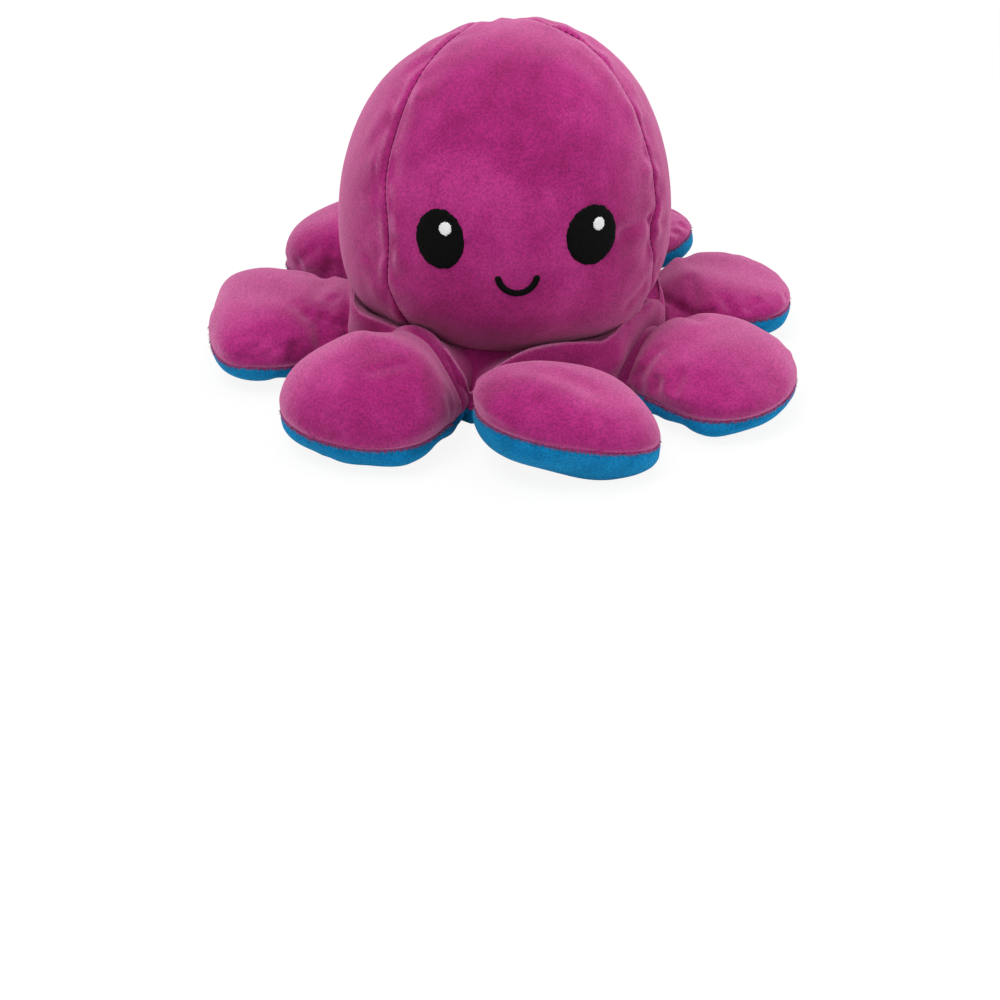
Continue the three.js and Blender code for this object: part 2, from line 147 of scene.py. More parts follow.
WEB_COLUMNS = 640
WEB_STEPS = 9
WEB_RIDGE_ROW = 4 * WEB_STEPS
WEB_LUMP_HEIGHT = 0.4 * MM
WEB_LUMP_LENGTH = 14 * MM
WEB_LUMP_FADE = 6 * MM
UNDERSIDE_COLUMNS = 480
UNDERSIDE_ROWS = 26
UNDERSIDE_LUMP_HEIGHT = 0.7 * MM
UNDERSIDE_LUMP_LENGTH = 16 * MM
RIDGE_TURNS = range(-8, 9, 2)  # degrees over which the ridge rounds off the web's corners
RIDGE_WIDTH = 0.6 * MM
RIDGE_HIGHLIGHT_SHARE = 0.9
DIP_ROUNDING = 1  # degrees
COLLAR_DIPS = {  # at the notch after each arm: depth in mm, then degrees to either side
    "front": (2, 6, 12),
    "front_right": (8, 6, 5),
    "right": (8, 6, 6),
    "back_right": (7, 6, 6),
    "back": (8, 6, 6),
    "back_left": (7, 6, 6),
    "left": (0.5, 7, 7),
    "front_left": (16, 4.4, 9.3),
}

# Arms, with shares chosen as in the frame
ARM_LENGTH = 44 * MM
ARM_HEIGHT = 28 * MM
ARM_SEAM_HEIGHT = 9.5 * MM
ROOT_DEPTH = 6 * MM
ARM_SPACING = 1.2 * MM
SOLE_FLAT = 0.5 * MM
ARM_PLAIN_SHARES = dict(sway=0, shift=0, tilt=0, skew=0, round=1)
ARM_SHARES = {  # of an arm's own sizes, and the roundness of its tip, its crown and its root
    "front": dict(
        length=0.93, fill=0.87, height=1.08, seam=1.5, sway=0.17, shift=0.07,
        tilt=0.2, shoulder=0.25, peak=0.24, tip=2.3, skew=0.22, root=0.7,
    ),
    "front_right": dict(
        length=1.08, fill=0.84, height=0.88, seam=0.98, shift=0.05,
        tilt=-0.03, shoulder=0.75, peak=0.16, tip=2.0, skew=0.3, root=0.7,
    ),
    "right": dict(
        length=1.02, fill=0.86, height=0.67, seam=1.2, sway=-0.03, shoulder=0.85, peak=0.3, tip=2.8, root=0.4
    ),
    "back_right": dict(
        length=1.0, fill=0.88, height=0.56, seam=1.2, tilt=0.14, shoulder=0.8, peak=0.3, tip=2.3, root=0.5
    ),
    "back": dict(length=0.9, fill=0.88, height=0.92, seam=1.2, shoulder=0.8, peak=0.33, tip=2.4, root=0.5),
    "back_left": dict(
        length=0.88, fill=0.9, height=1.07, seam=1.1, shoulder=1.1, peak=0.33, tip=3.0, round=0.9, root=0
    ),
    "left": dict(
        length=0.98, fill=0.88, height=0.85, seam=0.98, shoulder=1.8, peak=0.34, tip=4.2, round=0.75, root=0
    ),
    "front_left": dict(
        length=0.95, fill=0.79, height=1.21, seam=1.1, sway=-0.08, shift=0.03,
        tilt=0.03, shoulder=1.06, peak=0.12, tip=2.2, root=0.5,
    ),
}
TIP_LIFTS = {"back_right": 4.0 * MM, "left": 1.5 * MM}
FOLD_START_SHARES = {"front_left": 0.42}  # of the way across
FOLD_FADE_SHARE = 0.15
# Dents and wrinkles on the arms' tops: from one place to another, depth and width in mm. A place is a
# distance from the hinge in mm and a share of the way across.
ARM_DENTS = {
    "front": [((15, 0.36), (24, 0.55), 1.0, 5)],
    "front_right": [((5, 0.64), (12, 0.56), 1.6, 2.2), ((2, 0.12), (7, 0.3), 0.7, 2)],
    "right": [((6, 0.2), (10, 0.45), 0.8, 2.2), ((7, 0.14), (-2, 0.5), 1.2, 1.5)],
    "back_left": [((8, 0.8), (14, 0.6), 0.7, 2.5)],
    "left": [((4, 0.71), (-1.5, 0.82), 1.2, 1.4), ((5, 0.3), (1, 0.55), 0.7, 4)],
    "front_left": [((25, 0.6), (17, 0.66), 0.6, 1.5), ((3, 0.3), (9, 0.45), 0.6, 3)],
}
WIDEST_SHARE = 0.5
SOLE_SHARE = 0.55
SEAM_SHARE = 0.3
ROOT_POWER = 2.1
ROOT_NARROW_SHARE = 0.16  # lost in width towards the inner end
ROOT_NARROW_POWER = 1.5
ROOT_DROP = 4 * MM  # of the inner end below the crease
ROOT_GAP = 0.5 * MM  # between it and the crease
TOP_ROUNDNESS = 0.85
ROOT_LENGTH = 16 * MM
ROOT_FOLDS = np.array([(-3.2, -1.5, 1.3), (-6.4, 0.7, 1.6), (-9.6, -0.8, 1.3)]) * MM  # place, height, width
FOLD_HIGHLIGHT_SHARE = 0.3
GATHER_PLACE = 1 * MM
GATHER_REACH = 6 * MM
GATHER_HEIGHT = 0.8 * MM
GATHER_LENGTH = 7.5 * MM
GATHER_WANDER = 1.5
GATHER_WANDER_LENGTH = 40 * MM
SOLE_ROUNDNESS = 0.6
SOLE_TIP = 2.3
ARM_ROWS = 76
ARM_ROOT_ROWS = 14
ARM_COLUMNS = 61
ARM_TUCK_DEPTH = 0.6 * MM  # at the seam
ARM_TUCK_WIDTH = 1.2 * MM
ARM_LUMP_HEIGHT = 0.5 * MM
ARM_LUMP_LENGTH = 22 * MM
WRINKLE_HEIGHT = 0.16 * MM
WRINKLE_LENGTH = 7 * MM
SEAM_FADE = 4 * MM  # of lumps and folds
WRINKLE_REACH = 6 * MM  # of the seam's own wrinkles, and of the fade of the filling's
BEND_START = 10 * MM  # before the hinge
BEND_END = 14 * MM  # past it

# Filling, simulated as air in the sewn cloth
SIM_SCALE = 20  # the simulation's metres for each metre of the toy
SIM_FRAMES = 20
SIM_QUALITY = 6
SIM_STIFFNESS = 0.3
SIM_PRESSURE = 4
ARM_SLACK_SHARE = 0.07  # how much larger than its shape the cloth is cut
ARM_SIM_ROWS = 20
ARM_SIM_COLUMNS = 40
SIM_END_SHARE = 0.94
TIP_STILL_SHARE = 0.2
ARM_MOST_MOVE = 1.1 * MM
SOLE_MOVE_SHARE = 0.35
SWELL_SHARE = 0.85  # of the moves' broad part that is left out, as the shapes have it already
SWELL_ROUNDS = 30

# Ends of the pile along the arms' seams
PILE_START = 5 * MM  # past the hinge
HAIR_PITCH = 0.16 * MM
HAIR_LENGTH = 1.5 * MM
HAIR_WIDTH = 0.42 * MM
HAIR_DROOP = -1.3
HAIR_STRAY = 0.5

# Face
EYE_WIDTHS = {"left": 15.8 * MM, "right": 17.8 * MM}
EYE_TALL = 18.7 * MM
EYE_HEIGHT = 63.8 * MM
EYE_AZIMUTH = 26
EYE_LEAN = 10
GLINT = 4 * MM
GLINT_PLACES = {"left": (2.0 * MM, 3.8 * MM), "right": (1.9 * MM, 3.4 * MM)}
SMILE_HEIGHT = 48.2 * MM
SMILE_RADIUS = 6 * MM
SMILE_TURN = 78
STROKE = 2.1 * MM
PATCH_SPAN = 4 * MM  # above and below a middle, for the slant there
THREAD_HEIGHT = 0.8 * MM
THREAD_LIFT = 0.1 * MM  # over the velvet
THREAD_DEPTH = 0.6 * MM  # into the velvet
GLINT_HEIGHT = 0.5 * MM
STROKE_CLOTH = 0.5 * MM
SCOWL_EYE_WIDTH = 13 * MM
SCOWL_EYE_TALL = 10.5 * MM
SCOWL_EYE_HEIGHT = 42 * MM
SCOWL_EYE_AZIMUTH = 33
SCOWL_SLANT = 1.5 * MM
SCOWL_GLINT = 2.4 * MM
FROWN_HEIGHT = 31 * MM
FROWN_RADIUS = 4.4 * MM

# Camera: where it stands, and the point in the middle of its view
CAMERA_AZIMUTH = -4.3
CAMERA_ELEVATION = 28
CAMERA_DISTANCE = 700 * MM
CAMERA_AIM = Vector((-3.24, -25.63, -44.49)) * MM
CAMERA_LENS = 73.84
LAMPS = {  # place, size and power
    "key": ((-0.3, -0.18, 0.8), 0.5, 4.6),
    "top": ((0.15, 0.25, 0.85), 0.6, 3.0),
    "fill": ((0.7, -0.3, 0.4), 0.7, 2.4),
}
LAMP_AIM = (0, 0, 0.04)
FLOOR_REACH = 4.0
FLOOR_DROP = 0.3 * MM


def smooth(share):
    share = np.clip(share, 0, 1)
    return share * share * (3 - 2 * share)


def superellipse(share, power):
    return (1 - np.clip(share, 0, 1) ** power) ** (1 / power)


def bell(share):
    return np.exp(-(share**2))


def bumps(points, size, seed):
    """Smooth random bumps, mostly between -1 and 1, about size across."""
    random = np.random.default_rng(seed)
    ways = random.normal(size=(16, 3))
    ways *= (TURN / size * random.uniform(0.6, 1.3, 16) / np.linalg.norm(ways, axis=1))[:, None]
    return np.sin(points @ ways.T + random.uniform(0, TURN, 16)).sum(-1) / 4


def direction(azimuth):
    """Unit vectors at azimuths in degrees from the face, anticlockwise seen from above."""
    turn = np.radians(azimuth)
    return np.stack([np.sin(turn), -np.cos(turn), np.zeros_like(turn)], -1)


def around(azimuth, radius, height):
    """Points at azimuths, radii and heights"""
    return direction(azimuth) * radius[..., None] + UP * height[..., None]


def unit(vectors):
    return vectors / np.maximum(np.linalg.norm(vectors, axis=-1, keepdims=True), 1e-12)


def turn_from(azimuth, other):
    """Signed turn in degrees from one azimuth to another"""
    return (other - azimuth + 180) % 360 - 180


def grid_normals(points):
    """Unit normals of a grid, outwards where rows run down and columns anticlockwise"""
    return unit(np.cross(np.gradient(points, axis=0), np.gradient(points, axis=1)))


def nearest(points, *borders):
    """Distances of a grid's points from the nearest border, in their own row or column"""
    return np.min([np.linalg.norm(points - border, axis=-1) for border in borders], axis=0)


def new_object(name, data):
    thing = bpy.data.objects.new(name, data)
    bpy.context.scene.collection.objects.link(thing)
    return thing


def new_mesh(name, points, faces):
    mesh = bpy.data.meshes.new(name)
    mesh.from_pydata(points.reshape(-1, 3).tolist(), [], faces)
    return mesh


def smooth_object(name, mesh, material):
    mesh.shade_smooth()
    mesh.materials.append(material)
    return new_object(name, mesh)


def dress(nodes):
    """Hides the frame's parts for the nodes that a piece stands for"""
    if nodes:
        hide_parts(*nodes)


def grid_faces(points, closed, first=0):
    """Faces of a grid whose points are counted from first"""
    index = first + np.arange(points[..., 0].size).reshape(points.shape[:2])
    if closed:
        index = np.concatenate([index, index[:, :1]], 1)
    quads = np.stack([index[:-1, :-1], index[1:, :-1], index[1:, 1:], index[:-1, 1:]], -1)
    return quads.reshape(-1, 4).tolist()


def grid_object(name, points, material, closed=False, thickness=CLOTH, pale=None):
    """A sheet of fabric from a grid of points on its outer side, and how much painted highlight pales it
    there
    """
    mesh = new_mesh(name, points, grid_faces(points, closed))
    if pale is not None:
        mesh.attributes.new("pale", "FLOAT", "POINT").data.foreach_set("value", pale.ravel())
    sewn = bmesh.new()
    sewn.from_mesh(mesh)
    bmesh.ops.remove_doubles(sewn, verts=sewn.verts, dist=WELD_DISTANCE)
    sewn.to_mesh(mesh)
    sewn.free()
    piece = smooth_object(name, mesh, material)
    if thickness:
        layer = piece.modifiers.new("cloth", "SOLIDIFY")
        layer.thickness = thickness
        layer.offset = -1
    return piece


def spline(knots, steps):
    """Smooth curve through knots, which are arrays of one shape"""
    knots = [2 * knots[0] - knots[1], *knots, 2 * knots[-1] - knots[-2]]
    rows = []
    for before, start, end, after in zip(knots, knots[1:], knots[2:], knots[3:]):
        for share in np.linspace(0, 1, steps, endpoint=False):
            way = (end - before) / 2, (after - start) / 2
            square, cube = share**2, share**3
            rows.append(
                (2 * cube - 3 * square + 1) * start
                + (cube - 2 * square + share) * way[0]
                + (3 * square - 2 * cube) * end
                + (cube - square) * way[1]
            )
    return np.array(rows + [knots[-2]])


def resampled(grid, places):
    """Rows of a grid at places counted in its rows, along a smooth curve"""
    dense = spline(list(grid), CURVE_STEPS)
    places = np.clip(places * CURVE_STEPS, 0, len(dense) - 1.001)
    before = places.astype(int)
    share = (places - before).reshape(-1, *[1] * (grid.ndim - 1))
    return dense[before] * (1 - share) + dense[before + 1] * share


def lengths_along(path):
    steps = np.linalg.norm(np.diff(path, axis=0), axis=1)
    return np.concatenate([[0], np.cumsum(steps)])


def at_lengths(values, along, spots):
    """Points or ways of a path at lengths along it"""
    return np.stack([np.interp(spots, along, values[:, k]) for k in range(3)], -1)


def dent_path(start, end):
    return np.linspace(start, end, DENT_PLACES).T


def broad(values):
    """Values smoothed along a grid's rows and round its columns"""
    for _ in range(SWELL_ROUNDS):
        rolled = np.roll(values, 1, 1) + np.roll(values, -1, 1)
        beside = np.concatenate([values[:1], values[:-1]]) + np.concatenate([values[1:], values[-1:]])
        values = values / 2 + (rolled + beside) / 8
    return values


def filling_moves(grids, sewn):
    """How far the points of closed grids of cloth move as the filling presses them out"""
    firsts = np.cumsum([0, *(grid[..., 0].size for grid in grids)])
    faces = [face for grid, first in zip(grids, firsts) for face in grid_faces(grid, True, first)]
    rest = np.concatenate([grid.reshape(-1, 3) for grid in grids]) * SIM_SCALE
    piece = new_object("cloth", new_mesh("cloth", rest, faces))
    pins = piece.vertex_groups.new(name="sewn")
    pins.add(np.flatnonzero(np.concatenate([held.ravel() for held in sewn])).tolist(), 1, "REPLACE")
    cloth = piece.modifiers.new("cloth", "CLOTH")
    settings = cloth.settings
    settings.quality = SIM_QUALITY
    settings.bending_stiffness = SIM_STIFFNESS
    settings.use_pressure = True
    settings.uniform_pressure_force = SIM_PRESSURE
    settings.shrink_min = -ARM_SLACK_SHARE
    settings.vertex_group_mass = "sewn"
    settings.effector_weights.gravity = 0
    cloth.point_cache.frame_start = 1
    cloth.point_cache.frame_end = SIM_FRAMES
    for step in range(1, SIM_FRAMES + 1):
        bpy.context.scene.frame_set(step)
    moved = piece.evaluated_get(bpy.context.evaluated_depsgraph_get()).to_mesh()
    places = np.empty(rest.size)
    moved.vertices.foreach_get("co", places)
    bpy.data.objects.remove(piece)
    bpy.context.scene.frame_set(1)
    capped = []
    for part, grid in zip(np.split((places.reshape(-1, 3) - rest) / SIM_SCALE, firsts[1:-1]), grids):
        moves = part.reshape(grid.shape)
        moves = moves - SWELL_SHARE * broad(moves)
        length = np.linalg.norm(moves, axis=-1, keepdims=True) + 1e-9
        capped.append(moves * ARM_MOST_MOVE * np.tanh(length / ARM_MOST_MOVE) / length)
    return capped


# Head


def dome_points(azimuth, angle):
    """Above the widest place, at an angle in degrees from the pole where the panels meet"""
    pole = direction(POLE_AZIMUTH)
    axis = np.array([-pole[1], pole[0], 0.0])
    tilt = np.radians(POLE_TILT) * (1 - smooth(angle / 90))[..., None]
    slant = np.radians(angle)[..., None]
    ray = direction(azimuth) * np.sin(slant) + UP * np.cos(slant)
    ray = (
        ray * np.cos(tilt)
        + np.cross(axis, ray) * np.sin(tilt)
        + axis * (ray @ axis)[..., None] * (1 - np.cos(tilt))
    )
    across = np.hypot(ray[..., 0], ray[..., 1]) / HEAD_RADIUS
    up = np.maximum(ray[..., 2], 0) / DOME_HEIGHT
    point = ray * ((across**HEAD_POWER + up**HEAD_POWER) ** (-1 / HEAD_POWER))[..., None]
    point[..., 0] += CROWN_LEAN * (point[..., 2] / DOME_HEIGHT) ** 2
    point[..., 2] += WIDEST_HEIGHT
    return point


def sag(azimuth, share):
    """How far the head sags, at a share of the way down from its widest place to the crease"""
    depths = [most * bell(turn_from(middle, azimuth) / reach) for middle, reach, most in SAGS]
    return sum(depths) * np.sin(np.pi * share**SAG_POWER)


def seam_wander(seam, down):
    """Turn of a seam in degrees, at degrees down from the pole"""
    name = next(key for key, azimuth in SEAM_AZIMUTHS.items() if (azimuth - seam) % 360 == 0)
    phase = SEAM_AZIMUTHS[name]
    waves = np.sin(down / 9 + phase) + 0.7 * np.sin(down / 4.3 + 2 * phase)
    turns = [turn * smooth((down - first) / (last - first)) for first, last, turn in SEAM_TURNS[name]]
    return sum(turns) + SEAM_WANDER * waves * smooth(down / 25)


def head_grid(start, end):
    """Smooth grid of one panel between two seams, and its columns' distances from the nearer seam"""
    width = HEAD_RADIUS * math.radians(end - start)
    middle = np.arange(SEAM_PLACES[-1], width - SEAM_PLACES[-1], PANEL_PITCH)[1:]
    across = np.concatenate([SEAM_PLACES, middle, width - SEAM_PLACES[::-1]])
    azimuth = start + (end - start) * across / width
    angles = np.concatenate([[0.3, 0.9, 1.7], np.arange(2.8, 90, PANEL_STEP)])
    tucks = np.linspace(0, 1, TUCK_ROWS)[:, None]
    down = np.concatenate([angles[:, None], 90 + 45 * tucks])
    share = across[None] / width
    turned = azimuth[None] + seam_wander(start, down) * (1 - share) + seam_wander(end, down) * share
    rows = len(angles)
    dome = dome_points(turned[:rows], angles[:, None])
    tuck = head_place(turned[rows:], WIDEST_HEIGHT - (WIDEST_HEIGHT - CREASE_HEIGHT) * tucks)
    hem = tuck[-1:] - direction(turned[-1])[None] * (np.array([0.3, 1]) * HEM_INSIDE)[:, None, None]
    points = np.concatenate([dome, tuck, hem])
    return points, nearest(points, points[:, :1], points[:, -1:])


def dents(points, paths):
    """Height of dents at points, from their paths and their depths and widths in mm"""
    height = np.zeros(points.shape[:2])
    for path, depth, width in paths:
        away = np.linalg.norm(points[:, :, None] - path, axis=-1).min(-1)
        height -= depth * MM * bell(away / (width * MM))
    return height


def head_place(azimuth, height):
    """Point of the head at an azimuth and height"""
    above = superellipse((height - WIDEST_HEIGHT) / DOME_HEIGHT, HEAD_POWER)
    below = np.clip((WIDEST_HEIGHT - height) / (WIDEST_HEIGHT - CREASE_HEIGHT), 0, 1)
    radius = HEAD_RADIUS * above - CREASE_TUCK * below**TUCK_POWER
    return around(azimuth, radius, height - sag(azimuth, below))


def head_panel(name, start, end, seed):
    points, seam = head_grid(start, end)
    normals = grid_normals(points)
    rounding = np.clip(1 - seam / GROOVE_WIDTH, 0, 1)
    groove = -GROOVE_DEPTH * (1 - np.sqrt(1 - rounding**2))
    puckers = PUCKER_HEIGHT * np.exp(-seam / PUCKER_REACH) * bumps(points, PUCKER_LENGTH, seed)
    lumps = LUMP_HEIGHT * bumps(points, LUMP_LENGTH, seed + 10)
    bulge = PANEL_BULGE * (1 - np.exp(-seam / (2 * PUCKER_REACH)))
    paths = []
    for first, last, *sizes in HEAD_DENTS:
        azimuth, height = dent_path(first, last)
        paths.append((head_place(azimuth, height * MM), *sizes))
    away = groove + (puckers + lumps + dents(points, paths)) * (1 - rounding) + bulge
    # Painted highlight on the crests of the puckers beside the seams
    beside = np.exp(-((seam / GROOVE_WIDTH - 1.1) ** 2) * 8)
    pale = PUCKER_HIGHLIGHT_SHARE * beside * smooth(0.5 + puckers / PUCKER_HEIGHT)
    return grid_object(name, points + normals * away[..., None], MAGENTA, pale=pale)


# Materials


def set_inputs(node, **values):
    for key, value in values.items():
        node.inputs[key.replace("_", " ")].default_value = value


class Shader:
    """Adds nodes to a material and joins them."""

    def __init__(self, name):
        self.material = bpy.data.materials.new(name)
        self.material.use_nodes = True
        self.tree = self.material.node_tree
        self.surface = self.tree.nodes["Principled BSDF"]
        self.place = self.add("ShaderNodeTexCoord").outputs["Object"]

    def add(self, kind, **settings):
        node = self.tree.nodes.new(kind)
        for key, value in settings.items():
            setattr(node, key, value)
        return node

    def join(self, source, socket):
        self.tree.links.new(source, socket)

    def turned(self, turn):
        mapping = self.add("ShaderNodeMapping")
        set_inputs(mapping, Rotation=turn)
        self.join(self.place, mapping.inputs["Vector"])
        return mapping.outputs["Vector"]

    def noise(self, scale, detail, distortion=0):
        node = self.add("ShaderNodeTexNoise")
        self.join(self.place, node.inputs["Vector"])
        set_inputs(node, Scale=scale, Detail=detail, Distortion=distortion)
        return node.outputs["Fac"]

    def ramp(self, factor, stops):
        node = self.add("ShaderNodeValToRGB")
        self.join(factor, node.inputs["Fac"])
        elements = node.color_ramp.elements
        while len(elements) < len(stops):
            elements.new(0.5)
        for element, (place, color) in zip(elements, stops):
            element.position = place
            element.color = (*color, 1)
        return node.outputs["Color"]

    def mix(self, kind, factor, first, second):
        node = self.add("ShaderNodeMix", data_type="RGBA", blend_type=kind)
        for value, socket in ((factor, 0), (first, 6), (second, 7)):
            if isinstance(value, bpy.types.NodeSocket):
                self.join(value, node.inputs[socket])
            else:
                node.inputs[socket].default_value = (*value, 1) if socket else value
        return node.outputs[2]

    def bump(self, height, distance, strength, under=None):
        node = self.add("ShaderNodeBump")
        self.join(height, node.inputs["Height"])
        set_inputs(node, Distance=distance, Strength=strength)
        if under:
            self.join(under, node.inputs["Normal"])
        return node.outputs["Normal"]

    def finished(self, color, normal, **values):
        self.join(color, self.surface.inputs["Base Color"])
        self.join(normal, self.surface.inputs["Normal"])
        set_inputs(self.surface, **values)
        return self.material


def velvet(name, deep, middle, pale, painted_sheen_color, crest_highlight_color, sheen, weight, painted_sheen_shares):
    """Short-pile velvet: smudges where the pile lies over, a fine grain, a sheen, a painted sheen at its
    edges and painted highlights
    """
    shader = Shader(name)
    nap = shader.noise(26, detail=4, distortion=0.7)
    smudge = shader.noise(120, detail=3, distortion=0.4)
    lay = shader.mix("MIX", 0.3, nap, smudge)
    color = shader.ramp(lay, [(0.36, deep), (0.5, middle), (0.66, pale)])
    # Painted sheen: the colour pales towards the sheen colour where the surface faces away from the view
    facing = shader.add("ShaderNodeLayerWeight")
    set_inputs(facing, Blend=0.5)
    stops = [(place, (share,) * 3) for place, share in painted_sheen_shares]
    tips = shader.ramp(facing.outputs["Facing"], stops)
    color = shader.mix("MIX", tips, color, painted_sheen_color)
    # Painted highlight: the colour pales towards the crest colour where the pale attribute is set, on crests
    # of puckers, ridges and folds
    painted_highlight_share = shader.add("ShaderNodeAttribute", attribute_name="pale").outputs["Fac"]
    color = shader.mix("MIX", painted_highlight_share, color, crest_highlight_color)
    grain = shader.noise(1400, detail=2)
    speck = shader.ramp(grain, [(0.36, (0.66,) * 3), (0.64, (1.0,) * 3)])
    color = shader.mix("MULTIPLY", 1.0, color, speck)
    normal = shader.bump(smudge, 0.5 * MM, 0.25, shader.bump(grain, 0.12 * MM, 0.6))
    set_inputs(shader.surface, Sheen_Weight=weight, Sheen_Roughness=0.5, Sheen_Tint=(*sheen, 1))
    return shader.finished(color, normal, Roughness=0.92, Specular_IOR_Level=0.1)


def thread(name, color, pale, turn, relief=0.25 * MM):
    """Satin stitch: fine parallel threads with a soft shine"""
    shader = Shader(name)
    rows = shader.add("ShaderNodeTexWave", wave_type="BANDS", bands_direction="X")
    shader.join(shader.turned(turn), rows.inputs["Vector"])
    set_inputs(rows, Scale=420, Distortion=1.2, Detail_Scale=2)
    worn = shader.noise(900, detail=2)
    lay = shader.mix("MIX", 0.6, rows.outputs["Fac"], worn)
    color = shader.ramp(lay, [(0.25, color), (0.85, pale)])
    return shader.finished(color, shader.bump(lay, relief, 0.7), Roughness=0.6, Specular_IOR_Level=0.03)


MAGENTA_COLORS = (  # of the velvet from deep to pale, its painted sheen where it faces away, its painted highlight on crests, and its sheen
    (0.245, 0.008, 0.10),
    (0.325, 0.014, 0.147),
    (0.42, 0.03, 0.20),
    (0.50, 0.125, 0.295),
    (0.60, 0.19, 0.38),
    (1.0, 0.45, 0.65),
)
# The last list of each velvet gives the stops of its painted sheen, by how far the surface faces away
MAGENTA = velvet("magenta_velvet", *MAGENTA_COLORS, 0.28, [(0.32, 0), (0.7, 0.45), (0.97, 0.75)])
# The fringe's copy has painted sheen that lightens it even where it faces the view
PILE = velvet("magenta_velvet_pile", *MAGENTA_COLORS, 0.25, [(0.1, 0.1), (1, 0.6)])
# The arms' tops get a copy with a stronger painted sheen
ARM_SHEEN_SHARES = [(0.16, 0), (0.38, 0.2), (0.58, 0.6), (0.94, 0.82)]
MAGENTA_OVER = velvet("magenta_velvet_arm_sheen", *MAGENTA_COLORS, 0.3, ARM_SHEEN_SHARES)
BLUE_COLORS = (
    (0.0006, 0.122, 0.28),
    (0.0008, 0.168, 0.395),
    (0.006, 0.225, 0.485),
    (0.008, 0.25, 0.50),
    (0.008, 0.25, 0.50),
    (0.1, 0.6, 1.0),
)
BLUE = velvet("blue_velvet", *BLUE_COLORS, 0.08, [(0.22, 0), (0.6, 0.55), (0.95, 0.8)])
BLACK = thread("black_thread", (0.0016,) * 3, (0.005,) * 3, (0, 0.6, 0))
WHITE = thread("white_thread", (0.6,) * 3, (0.76,) * 3, (0, 0.9, 0), relief=0.08 * MM)
SEAM_THREAD = thread("magenta_thread", (0.12, 0.004, 0.05), (0.2, 0.008, 0.085), (0, 0.4, 0))


# Web


HINGES = {joint["child"].removeprefix("arm_"): joint["pos_m"] for joint in frame["joints"]}
ARM_AZIMUTHS = {arm: math.degrees(math.atan2(x, -y)) % 360 for arm, (x, y, _) in HINGES.items()}
ARM_ORDER = sorted(ARM_AZIMUTHS, key=ARM_AZIMUTHS.get)
NOTCHES = {}  # the azimuth between each arm and the next
for arm, after in zip(ARM_ORDER, ARM_ORDER[1:] + ARM_ORDER[:1]):
    NOTCHES[arm] = ARM_AZIMUTHS[arm] + turn_from(ARM_AZIMUTHS[arm], ARM_AZIMUTHS[after]) / 2


def web_edge(azimuth):
    sides = [np.cos(np.radians(azimuth - own)) for own in ARM_AZIMUTHS.values()]
    return WEB_RADIUS / np.max(sides, axis=0)


def collar_height(azimuth):
    height = np.full(azimuth.shape, COLLAR_HEIGHT)
    for arm, notch in NOTCHES.items():
        depth, before, after = COLLAR_DIPS[arm]
        turn = turn_from(notch, azimuth)
        reach = np.where(turn < 0, before, after)
        height -= depth * MM * np.exp((DIP_ROUNDING - np.hypot(turn, DIP_ROUNDING)) / reach)
    return height


def web_top():
    """Magenta top of the web: out along the head's underside, over a collar and down to the arms' roots"""
    azimuth = np.linspace(0, 360, WEB_COLUMNS, endpoint=False)
    edge = web_edge(azimuth)
    ridge = np.mean([web_edge(azimuth + turn) for turn in RIDGE_TURNS], axis=0)
    radii = CREASE_RADIUS, COLLAR_REACH, ridge
    crease, limit, most = [under_head(radius, azimuth) + 0.5 * HEAD_CLEARANCE for radius in radii]
    top = np.minimum(collar_height(azimuth), most)
    foot = WEB_EDGE_HEIGHT - NOTCH_DROP * smooth((edge - WEB_RADIUS) / NOTCH_DROP)
    full = smooth((top - foot) / (COLLAR_HEIGHT / 2))
    level = np.ones(azimuth.shape)
    share = (COLLAR_REACH - CREASE_RADIUS) / (ridge - CREASE_RADIUS)
    valley = np.minimum(crease + (top - crease) * share - VALLEY_DEPTH, limit)
    open_share = smooth((VALLEY_REACH - abs(turn_from(VALLEY_AZIMUTH, azimuth))) / VALLEY_FADE)
    valley = limit + (valley - limit) * open_share
    knots = [
        (CREASE_RADIUS - HEM_INSIDE, CREASE_HEIGHT - HEAD_CLEARANCE),
        (CREASE_RADIUS, crease),
        (COLLAR_REACH, valley),
        (ridge - 1.4 * COLLAR_ROUNDING, top - 0.5 * COLLAR_ROUNDING),
        (ridge, top),
        (ridge + 0.7 * COLLAR_BULGE * full, top - 1.6 * COLLAR_ROUNDING * full),
        (ridge + COLLAR_BULGE * full, (top + foot) / 2),
        (edge, foot),
        (edge, WEB_SEAM_HEIGHT),
    ]
    profile = spline([np.array([radius * level, height * level]) for radius, height in knots], WEB_STEPS)
    radius, height = profile[:, 0], profile[:, 1]
    points = around(azimuth, radius, height)
    free = smooth((height - foot) / WEB_LUMP_FADE) * smooth((radius - CREASE_RADIUS) / WEB_LUMP_FADE)
    away = WEB_LUMP_HEIGHT * bumps(points, WEB_LUMP_LENGTH, SEEDS["web"]) * free
    points += grid_normals(points) * away[..., None]
    # Painted highlight along the ridge's crest
    from_ridge = np.linalg.norm(points - points[WEB_RIDGE_ROW], axis=-1)
    pale = RIDGE_HIGHLIGHT_SHARE * bell(from_ridge / RIDGE_WIDTH) * (0.4 + 0.6 * open_share)
    return grid_object("web_slope", points, MAGENTA, closed=True, thickness=WEB_CLOTH, pale=pale)


